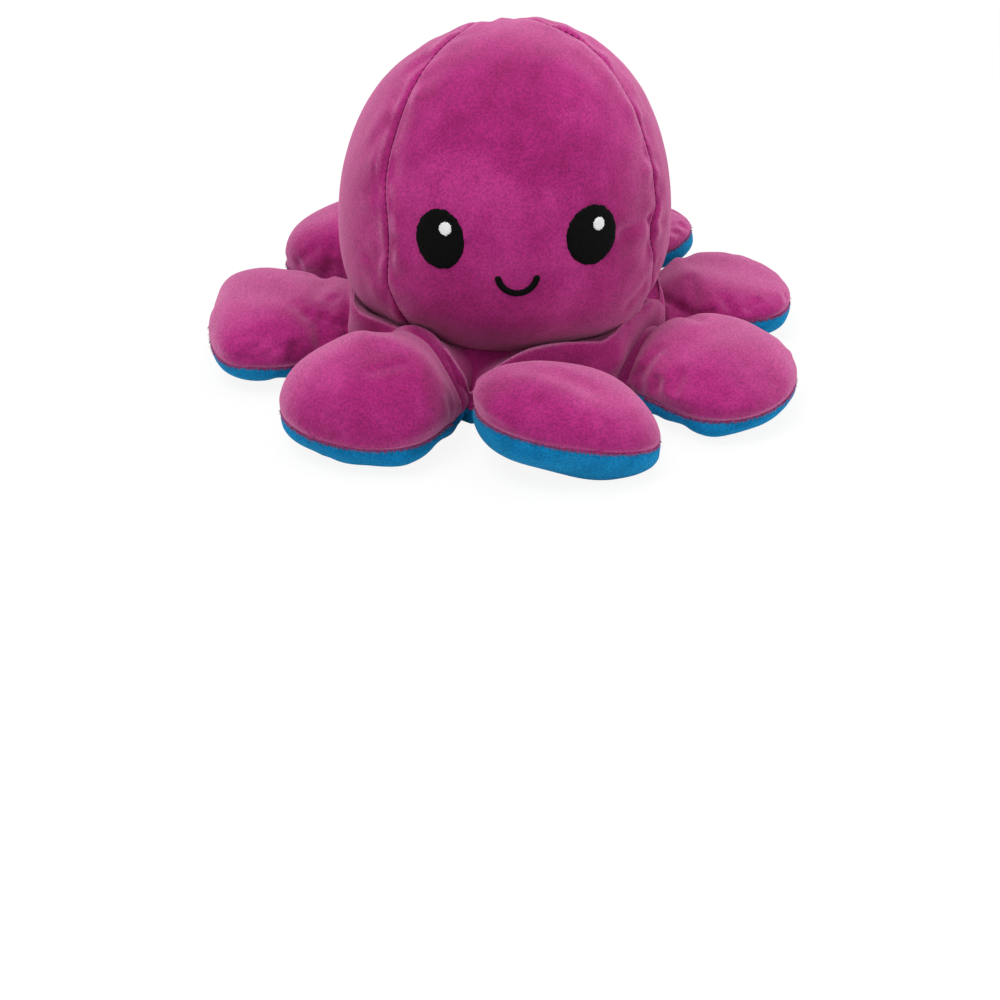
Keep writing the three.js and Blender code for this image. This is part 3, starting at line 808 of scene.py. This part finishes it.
def web_bottom():
    """Blue underside of the web, from the seam at its edge to the pocket's mouth"""
    azimuth = np.linspace(0, 360, UNDERSIDE_COLUMNS, endpoint=False)
    edge = web_edge(azimuth)
    inner = POCKET_RADIUS + WEB_HEM
    shares = np.linspace(0, 1, UNDERSIDE_ROWS)[1:-1]
    profile = [
        (edge, WEB_SEAM_HEIGHT),
        (edge, WEB_HEM),
        (edge - 0.3 * WEB_HEM, 0.5 * WEB_HEM),
        (edge - WEB_HEM, 0),
        *[(edge - WEB_HEM + (inner - edge + WEB_HEM) * share, 0) for share in shares],
        (inner, 0),
        (POCKET_RADIUS + 0.3 * WEB_HEM, 0.4 * WEB_HEM),
        (POCKET_RADIUS, WEB_HEM),
        (POCKET_RADIUS, 2 * WEB_HEM),
    ]
    radius = np.array([row + 0 * edge for row, _ in profile])
    points = around(azimuth, radius, np.array([row for _, row in profile])[:, None])
    lumps = bumps(points[4:-4], UNDERSIDE_LUMP_LENGTH, SEEDS["underside"])
    points[4:-4, :, 2] += UNDERSIDE_LUMP_HEIGHT * np.abs(lumps)
    return grid_object("web_underside", points, BLUE, closed=True)


# Pocket


def lining(name, start, end, seed):
    """Blue lining of the pocket, which hangs in soft upright folds"""
    azimuth = np.linspace(start, end, int((end - start) / POCKET_COLUMN))
    share = np.concatenate([np.linspace(0, 0.93, 44), [0.955, 0.975, 0.99, 0.999]])
    radius = POCKET_RADIUS * np.sqrt(1 - share**POCKET_POWER) + POCKET_BELLY * np.sin(np.pi * share)
    height = POCKET_MOUTH + (POCKET_TOP - POCKET_MOUTH) * share
    points = around(azimuth, radius[:, None], height[:, None])
    normals = grid_normals(points)
    seam = np.minimum(azimuth - start, end - azimuth)[None] * math.radians(1) * POCKET_RADIUS
    fold = 1 + bumps(points * np.array([1, 1, 0.35]), POCKET_FOLD_LENGTH, seed)
    fold *= POCKET_FOLD_HEIGHT / 2 * smooth(seam / POCKET_FOLD_FADE)
    groove = POCKET_GROOVE_DEPTH * bell(seam / POCKET_GROOVE_WIDTH)
    inwards = (fold - groove) * smooth(share / 0.2)[:, None]
    return grid_object(name, points + normals * inwards[..., None], BLUE)


# Arms


def under_head(radius, azimuth):
    """Height of the head's underside, where the web and the arms press against it"""
    share = np.clip((HEAD_RADIUS - radius) / CREASE_TUCK, 0, 1) ** (1 / TUCK_POWER)
    return WIDEST_HEIGHT - (WIDEST_HEIGHT - CREASE_HEIGHT) * share - sag(azimuth, share) - HEAD_CLEARANCE


class Arm:
    """One arm, in its own frame: the hinge along Y, X outwards, and zero at the hinge's height"""

    def __init__(self, name):
        azimuth = ARM_AZIMUTHS[name]
        gap = min(abs(turn_from(azimuth, notch)) for notch in NOTCHES.values())
        shares = ARM_PLAIN_SHARES | ARM_SHARES[name]
        self.name = name
        self.shares = shares
        self.azimuth = azimuth
        self.seed = SEEDS["arm"] + ARM_ORDER.index(name)
        self.hinge = np.array(HINGES[name])
        self.out = direction(azimuth)
        self.side = np.array([-self.out[1], self.out[0], 0])
        wedge = math.tan(math.radians(gap))
        self.length = ARM_LENGTH * shares["length"]
        self.hinge_radius = math.hypot(*self.hinge[:2])
        self.half_width = (self.hinge_radius + WIDEST_SHARE * self.length) * wedge * shares["fill"]
        self.root_share = (WEB_RADIUS * wedge - ARM_SPACING) / self.half_width
        self.seam_height = ARM_SEAM_HEIGHT * shares["seam"]
        self.top = ARM_HEIGHT * shares["height"] - self.seam_height
        self.sole = self.seam_height + SOLE_FLAT
        self.sway = 2 * self.half_width * shares["sway"]
        self.shift = 2 * self.half_width * shares["shift"]
        self.roundness = TOP_ROUNDNESS * shares["round"]
        self.fold_start_share = FOLD_START_SHARES.get(name, -FOLD_FADE_SHARE)
        self.lift = TIP_LIFTS.get(name, 0)
        self.start = CREASE_RADIUS + ROOT_GAP - self.hinge_radius

    def sections(self, x):
        peak, tip, shoulder = [self.shares[key] for key in ("peak", "tip", "shoulder")]
        share = np.clip(x / self.length, 0, 1)
        rise = np.sin(TURN / 4 * np.clip(share / WIDEST_SHARE, 0, 1))
        rise = self.root_share + (1 - self.root_share) * rise
        fall = np.sqrt(1 - np.clip((share - WIDEST_SHARE) / (1 - WIDEST_SHARE), 0, 1) ** tip)
        root = 1 - ROOT_NARROW_SHARE * np.clip(x / self.start, 0, 1) ** ROOT_NARROW_POWER
        crown = self.profile(x, peak, tip)
        before = shoulder + (1 - shoulder) * crown
        top = self.top * np.where(x > peak * self.length, crown, before)
        inside = smooth((-ROOT_DEPTH - x) / (-ROOT_DEPTH - self.start))
        crease = CREASE_HEIGHT - ROOT_DROP - self.hinge[2]
        limit = under_head(self.hinge_radius + x, self.azimuth) - self.hinge[2]
        top = np.minimum(top + (crease - top) * inside, limit)
        return dict(
            centre=self.sway * share**2 + self.shift * (1 - share),
            width=self.half_width * rise * fall * root,
            seam=(self.seam_height - self.hinge[2]) * smooth(share / SEAM_SHARE) + self.lift * share**2,
            top=top,
            sole=self.sole * self.profile(x, SOLE_SHARE, SOLE_TIP),
            tilt=self.shares["tilt"] * smooth(share / SEAM_SHARE),
            roundness=self.roundness + self.shares["root"] * (1 - smooth((x + ROOT_DEPTH) / ROOT_LENGTH)),
        )

    def profile(self, x, fullest, tip):
        peak = fullest * self.length
        rise = superellipse((peak - x) / (peak + ROOT_DEPTH), ROOT_POWER)
        fall = np.sqrt(1 - np.clip((x - peak) / (self.length - peak), 0, 1) ** tip)
        return np.where(x < peak, rise, fall)

    def surface(self, x, turn, upper):
        """Points for rows x and turns across: 0 at one seam, half a turn at the other"""
        s = {key: value[:, None] for key, value in self.sections(x).items()}
        across = -np.cos(turn)[None] * s["width"]
        bulge = np.sin(turn)[None].clip(0)
        tilted = s["seam"] - s["tilt"] * across
        if upper:
            skew = 1 - self.shares["skew"] * np.cos(turn)
            height = tilted + s["top"] * bulge ** (s["roundness"] * skew)
        else:
            height = np.maximum(tilted - s["sole"] * bulge**SOLE_ROUNDNESS, -self.hinge[2])
        x = np.broadcast_to(x[:, None], across.shape)
        return np.stack([x, s["centre"] + across, height], -1)

    def cloth_grid(self):
        """Coarse closed grid of the whole arm for the simulation, and its points that are sewn down"""
        x = self.row_place(np.sin(TURN / 4 * np.linspace(0, SIM_END_SHARE, ARM_SIM_ROWS)))
        half = ARM_SIM_COLUMNS // 2
        turn = np.linspace(0, np.pi, half + 1)
        lower = self.surface(x, turn, False)[:, half - 1 : 0 : -1]
        grid = np.concatenate([self.surface(x, turn, True), lower], 1)
        sewn = np.zeros(grid.shape[:2], bool)
        sewn[[0, 1, -1]] = True
        sewn[:, [0, half]] = True
        return grid, sewn

    def row_place(self, share):
        return -ROOT_DEPTH + (self.length + ROOT_DEPTH) * share

    def filled(self, x, turn, upper):
        """The filling's moves at a panel's points"""
        columns = turn / np.pi * ARM_SIM_COLUMNS / 2
        if not upper:
            columns = ARM_SIM_COLUMNS - columns
        share = np.clip((x + ROOT_DEPTH) / (self.length + ROOT_DEPTH), 0, 1)
        rows = np.arcsin(share) / (TURN / 4) / SIM_END_SHARE * (ARM_SIM_ROWS - 1)
        moves = resampled(np.concatenate([self.moves, self.moves[:, :1]], 1), rows)
        return np.swapaxes(resampled(np.swapaxes(moves, 0, 1), columns), 0, 1)

    def folds(self, points, x, across):
        """Height of the folds at the root and of the dents on the arm's top"""
        height = np.zeros(points.shape[:2])
        for place, rise, width in ROOT_FOLDS:
            height += rise * bell((x[:, None] - place) / width)
        height *= smooth((across[None] - self.fold_start_share) / FOLD_FADE_SHARE)
        paths = []
        for start, end, *sizes in ARM_DENTS.get(self.name, []):
            place, share = dent_path(start, end)
            grid = self.surface(place * MM, share * np.pi, True)
            paths.append((np.diagonal(grid).T, *sizes))
        return height + dents(points, paths)

    def placed(self, points):
        return self.hinge + points @ np.array([self.out, self.side, UP])

    def panel(self, upper, material, slot, *nodes):
        spread = (1 - np.cos(np.linspace(0, np.pi, ARM_ROWS))) / 2
        x = self.row_place(spread)
        if upper:
            x = np.concatenate([np.linspace(self.start, -ROOT_DEPTH, ARM_ROOT_ROWS)[:-1], x])
        share = np.linspace(0, 1, ARM_COLUMNS)
        turn = np.pi * (share - 0.04 * np.sin(TURN * share))
        turn[[0, -1]] = 0, np.pi
        points = self.surface(x, turn, upper)
        moves = self.filled(x, turn, upper) * (1 if upper else SOLE_MOVE_SHARE)
        if not upper:
            points = points[:, ::-1]
            moves = moves[:, ::-1]
        normals = grid_normals(points)
        seam = nearest(points, points[:, :1], points[:, -1:], points[:1], points[-1:])
        inwards = ARM_TUCK_DEPTH * bell(seam / ARM_TUCK_WIDTH)
        lumps = ARM_LUMP_HEIGHT * bumps(points, ARM_LUMP_LENGTH, self.seed)
        wrinkles = WRINKLE_HEIGHT * bumps(points, WRINKLE_LENGTH, self.seed + 20)
        lumps += wrinkles * np.exp(-seam / WRINKLE_REACH)
        wave = GATHER_WANDER * bumps(points, GATHER_WANDER_LENGTH, self.seed + 40)
        near = bell((x[:, None] - GATHER_PLACE) / GATHER_REACH) * (1 - np.sin(turn)) ** 0.8
        lumps += upper * GATHER_HEIGHT * near * np.cos(TURN * x[:, None] / GATHER_LENGTH + wave)
        if upper:
            lumps += self.folds(points, x, turn / np.pi)
        points = points + normals * (lumps * smooth(seam / SEAM_FADE) - inwards)[..., None]
        still = smooth(seam / WRINKLE_REACH) * smooth((1 - x[:, None] / self.length) / TIP_STILL_SHARE)
        points += moves * still[..., None]
        points = self.placed(points)
        points[..., 2] = np.maximum(points[..., 2], 0)
        kind = "upper" if upper else "lower"
        if upper:
            row = int(np.argmax(x > PILE_START))
            self.rim = np.concatenate([points[row:, 0], points[:row:-1, -1]])
            middle = self.placed(np.array([[0.5 * self.length, 0, 0]]))
            self.rim_normals = unit((self.rim - middle) * np.array([1, 1, 0]))
        # Painted highlight along the middle root fold
        fold, _, width = ROOT_FOLDS[1]
        pale = upper * FOLD_HIGHLIGHT_SHARE * bell((x[:, None] - fold) / width)
        pale = pale * smooth((turn / np.pi - self.fold_start_share) / FOLD_FADE_SHARE)
        piece = grid_object(f"arm_{self.name}_{kind}", points, material, pale=pale)
        self.bend(piece, slot, *nodes)

    def bend(self, piece, slot, *nodes):
        start, end = [tuple(self.hinge + reach * self.out) for reach in (-BEND_START, BEND_END)]
        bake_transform(piece)
        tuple(start)
        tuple(end)
        dress(nodes)


def fringe(name, seam, normals):
    """Ends of the pile that stick out along a seam, as thin closed cones"""
    random = np.random.default_rng(len(seam))
    along = lengths_along(seam)
    spots = np.arange(0, along[-1], HAIR_PITCH)
    spots = spots + random.uniform(0, HAIR_PITCH, len(spots))
    roots = at_lengths(seam, along, spots)
    ways = at_lengths(normals, along, spots)
    ways = unit(ways + HAIR_DROOP * UP + random.normal(0, HAIR_STRAY, ways.shape))
    tips = roots + ways * random.uniform(0.4, 1, (len(roots), 1)) * HAIR_LENGTH
    aside = unit(np.cross(ways, random.normal(size=ways.shape)))
    other = np.cross(ways, aside)
    corners = [
        roots - ways * HAIR_WIDTH + (aside * math.cos(turn) + other * math.sin(turn)) * HAIR_WIDTH / 2
        for turn in (0, TURN / 3, 2 * TURN / 3)
    ]
    first = 4 * np.arange(len(roots))[:, None]
    faces = [first + np.array(face) for face in ((0, 2, 1), (0, 1, 3), (1, 2, 3), (2, 0, 3))]
    mesh = new_mesh(name, np.stack([*corners, tips], 1), np.concatenate(faces).tolist())
    return smooth_object(name, mesh, PILE)


# Embroidery


def patch_on(piece, azimuth, height, from_inside=False):
    """Gives places over a piece: x to the right and y up, from a middle at an azimuth and height"""
    graph = bpy.context.evaluated_depsgraph_get()
    graph.update()
    tree = BVHTree.FromObject(piece, graph)
    out = Vector(direction(azimuth))
    origin = Vector((0, 0, height)) + out * (0 if from_inside else 2 * HEAD_RADIUS)
    sight = out if from_inside else -out
    rises = 0, -PATCH_SPAN, PATCH_SPAN
    hits = [tree.ray_cast(origin + Vector((0, 0, rise)), sight) for rise in rises]
    middle = hits[0][0]
    normal = (hits[0][1] + hits[1][1] + hits[2][1]).normalized()
    if normal.dot(sight) > 0:
        normal = -normal
    right = Vector((0, 0, 1)).cross(normal).normalized()
    up = normal.cross(right)

    def place(x, y, lift):
        start = middle + right * x + up * y + normal * (POCKET_RADIUS / 2)
        hit, _, _, _ = tree.ray_cast(start, -normal)
        return hit + normal * lift

    return place


def disc(name, place, outline, material, lift=THREAD_LIFT, height=THREAD_HEIGHT):
    """A padded disc of stitches from its outline, with a rounded rim"""
    middle = np.mean(outline, axis=0)
    shares = np.concatenate([[0.001], np.linspace(0.06, 0.9, 18), [0.94, 0.97, 0.99, 1.0]])
    rows = []
    for share in shares:
        lifted = lift + height * (1 - share**8) ** 0.5
        rows.append([place(*(middle + (point - middle) * share), lifted) for point in outline])
    rows.append([place(*point, -THREAD_DEPTH) for point in outline])
    return grid_object(name, np.array(rows), material, closed=True, thickness=0)


def ellipse(width, tall, seed, roughness, lean=0, offset=(0, 0)):
    turn = np.linspace(0, TURN, 144, endpoint=False)
    rim = np.stack([np.cos(turn), np.sin(turn), 0 * turn], -1)
    ragged = 1 + roughness * (0.6 * bumps(rim, 0.22, seed) + 0.5 * bumps(rim, 0.09, seed + 1))
    x, y = width / 2 * np.cos(turn) * ragged, tall / 2 * np.sin(turn) * ragged
    c, s = math.cos(math.radians(lean)), math.sin(math.radians(lean))
    return np.stack([x * c + y * s + offset[0], y * c - x * s + offset[1]], -1)


def arc(name, place, radius, side):
    """A line of stitches along an arc with round ends"""
    half = math.radians(SMILE_TURN)
    turns = np.linspace(-half, half, 60)
    path = np.stack([radius * np.sin(turns), side * radius * (1 - np.cos(turns))], -1)
    tangent = unit(np.gradient(path, axis=0))
    cap = np.sin(np.linspace(0, TURN / 4, 8))[:-1]
    before = path[0] - tangent[0] * (STROKE / 2) * (1 - cap)[:, None]
    after = path[-1] + tangent[-1] * (STROKE / 2) * (1 - cap[::-1])[:, None]
    path = np.concatenate([before, path, after])
    tangent = np.pad(tangent, ((len(cap), len(cap)), (0, 0)), "edge")
    rounded = np.sqrt(1 - (1 - cap) ** 2)
    full = np.concatenate([rounded, np.ones(len(turns)), rounded[::-1]])
    across = np.stack([-tangent[:, 1], tangent[:, 0]], -1)
    rows = []
    for step in np.linspace(-1, 1, 13):
        lift = THREAD_LIFT + THREAD_HEIGHT * np.sqrt(1 - 0.96 * step**2) * np.maximum(full, 0.05)
        line = path + across * (STROKE / 2 * step * full)[:, None]
        rows.append([place(*point, rise) for point, rise in zip(line, lift)])
    return grid_object(name, np.array(rows)[::-1], BLACK, thickness=STROKE_CLOTH)


# Stitches


def stitch_line(name, path):
    """Short threads that show along a seam"""
    along = lengths_along(path)
    size = Vector((STITCH_LENGTH, STITCH_WIDTH, STITCH_WIDTH)) / 2
    joined = bmesh.new()
    for middle in np.arange(STITCH_PITCH, along[-1] - STITCH_PITCH, STITCH_PITCH):
        ends = at_lengths(path, along, middle + np.array([-STITCH_LENGTH, STITCH_LENGTH]) / 2)
        turned = Vector(ends[1] - ends[0]).to_track_quat("X", "Z").to_matrix().to_4x4()
        turned.translation = Vector(ends.mean(0))
        for vertex in bmesh.ops.create_icosphere(joined, subdivisions=2, radius=1)["verts"]:
            vertex.co = turned @ (vertex.co * size)
    mesh = bpy.data.meshes.new(name)
    joined.to_mesh(mesh)
    joined.free()
    return smooth_object(name, mesh, SEAM_THREAD)


# Put together


def fixed(piece, slot, *nodes):
    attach(piece, "root")
    dress(nodes)
    return piece


def sewn_eye(name, place, outline, glint_outline, nodes):
    fixed(disc(f"{name}_eye", place, outline, BLACK), "black_thread", nodes[0])
    glint = disc(f"{name}_glint", place, glint_outline, WHITE, lift=THREAD_HEIGHT, height=GLINT_HEIGHT)
    fixed(glint, "white_thread", nodes[1])


head = {}
names = list(SEAM_AZIMUTHS)
for index, name in enumerate(names):
    start = SEAM_AZIMUTHS[name]
    end = SEAM_AZIMUTHS[names[(index + 1) % len(names)]]
    end += 360 if end < start else 0
    panel = head_panel(f"head_{name}", start, end, SEEDS["head"] + index)
    head[name] = fixed(panel, "magenta_velvet", f"head_panel_{name}")
    pocket = lining(f"pocket_{name}", start, end, SEEDS["pocket"] + index)
    head[f"pocket_{name}"] = fixed(pocket, "blue_velvet", f"lining_panel_{name}")
    path, _ = head_grid(start, end)
    line = path[STITCHED_ROWS, 0] - grid_normals(path)[STITCHED_ROWS, 1] * STITCH_DEPTH
    fixed(stitch_line(f"stitches_{name}", line), "magenta_velvet")
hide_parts("head_stuffing")
fixed(web_top(), "magenta_velvet", "web_top")
fixed(web_bottom(), "blue_velvet", "web_bottom")

arms = [Arm(name) for name in ARM_ORDER]
grids, sewn = zip(*[arm.cloth_grid() for arm in arms])
for arm, moves in zip(arms, filling_moves(grids, sewn)):
    name = arm.name
    arm.moves = moves
    arm.panel(True, MAGENTA_OVER, "magenta_velvet", f"arm_{name}_top", f"arm_{name}_stuffing")
    arm.bend(fringe(f"arm_{name}_pile", arm.rim, arm.rim_normals), "magenta_velvet")
    arm.panel(False, BLUE, "blue_velvet", f"arm_{name}_sole")

for side, name in ((-1, "left"), (1, "right")):
    place = patch_on(head["front"], side * EYE_AZIMUTH, EYE_HEIGHT)
    outline = ellipse(EYE_WIDTHS[name], EYE_TALL, SEEDS["eye"], 0.018, side * EYE_LEAN)
    glint = ellipse(GLINT, GLINT, SEEDS["glint"] + side, 0.1, side * EYE_LEAN, GLINT_PLACES[name])
    sewn_eye(name, place, outline, glint, (f"eye_{name}", f"eye_glint_{name}"))
smile = arc("smile_stitches", patch_on(head["front"], 0, SMILE_HEIGHT), SMILE_RADIUS, 1)
fixed(smile, "black_thread", "smile")

for side, name in ((-1, "left"), (1, "right")):
    place = patch_on(head["pocket_front"], -side * SCOWL_EYE_AZIMUTH, SCOWL_EYE_HEIGHT, from_inside=True)
    outline = ellipse(SCOWL_EYE_WIDTH, 2 * SCOWL_EYE_TALL, SEEDS["scowl"], 0.012)
    brow = SCOWL_SLANT * side * outline[:, 0] / (SCOWL_EYE_WIDTH / 2)
    outline[:, 1] = np.minimum(outline[:, 1], brow) + SCOWL_EYE_TALL / 2
    glint = ellipse(SCOWL_GLINT, SCOWL_GLINT, SEEDS["scowl_glint"] + side, 0.08)
    sewn_eye(f"scowl_{name}", place, outline, glint, (f"scowl_eye_{name}", f"scowl_glint_{name}"))
place = patch_on(head["pocket_front"], 0, FROWN_HEIGHT, from_inside=True)
fixed(arc("frown_stitches", place, FROWN_RADIUS, -1), "black_thread", "frown")


# Floor, light and camera


def aim(thing, place, target):
    thing.location = place
    thing.rotation_mode = "QUATERNION"
    thing.rotation_quaternion = (Vector(target) - Vector(place)).to_track_quat("-Z", "Y")


def white_floor():
    corners = FLOOR_REACH * np.array([(-1, -1, 0), (1, -1, 0), (1, 1, 0), (-1, 1, 0)])
    floor = new_object("floor", new_mesh("floor", corners, [(0, 1, 2, 3)]))
    floor.location.z = -FLOOR_DROP
    shader = Shader("floor_white")
    set_inputs(shader.surface, Base_Color=(0.8, 0.8, 0.8, 1), Roughness=1.0, Specular_IOR_Level=0.0)
    glow = shader.add("ShaderNodeEmission")
    path = shader.add("ShaderNodeLightPath")
    share = shader.add("ShaderNodeMath", operation="MULTIPLY")
    shader.join(path.outputs["Is Camera Ray"], share.inputs[0])
    share.inputs[1].default_value = 0.9
    blend = shader.add("ShaderNodeMixShader")
    shader.join(share.outputs[0], blend.inputs[0])
    shader.join(shader.surface.outputs[0], blend.inputs[1])
    shader.join(glow.outputs[0], blend.inputs[2])
    shader.join(blend.outputs[0], shader.tree.nodes["Material Output"].inputs["Surface"])
    floor.data.materials.append(shader.material)


def plain_world():
    world = bpy.data.worlds.new("studio")
    bpy.context.scene.world = world
    world.use_nodes = True
    tree = world.node_tree
    background = tree.nodes["Background"]
    path = tree.nodes.new("ShaderNodeLightPath")
    strength = tree.nodes.new("ShaderNodeMapRange")
    tree.links.new(path.outputs["Is Camera Ray"], strength.inputs["Value"])
    set_inputs(strength, To_Min=0.6)
    tree.links.new(strength.outputs["Result"], background.inputs["Strength"])
    set_inputs(background, Color=(1, 1, 1, 1))


white_floor()
plain_world()
for name, (place, size, energy) in LAMPS.items():
    lamp = bpy.data.lights.new(name, "AREA")
    lamp.shape = "DISK"
    lamp.size = size
    lamp.energy = energy
    aim(new_object(name, lamp), place, LAMP_AIM)

camera_data = bpy.data.cameras.new("camera")
camera_data.lens = CAMERA_LENS
camera_data.clip_start = 0.01
camera = new_object("camera", camera_data)
elevation = np.radians(CAMERA_ELEVATION)
back = around(CAMERA_AZIMUTH, np.cos(elevation), np.sin(elevation))
aim(camera, Vector(back) * CAMERA_DISTANCE, CAMERA_AIM)
bpy.context.scene.camera = camera
bpy.context.scene.view_settings.view_transform = "Standard"
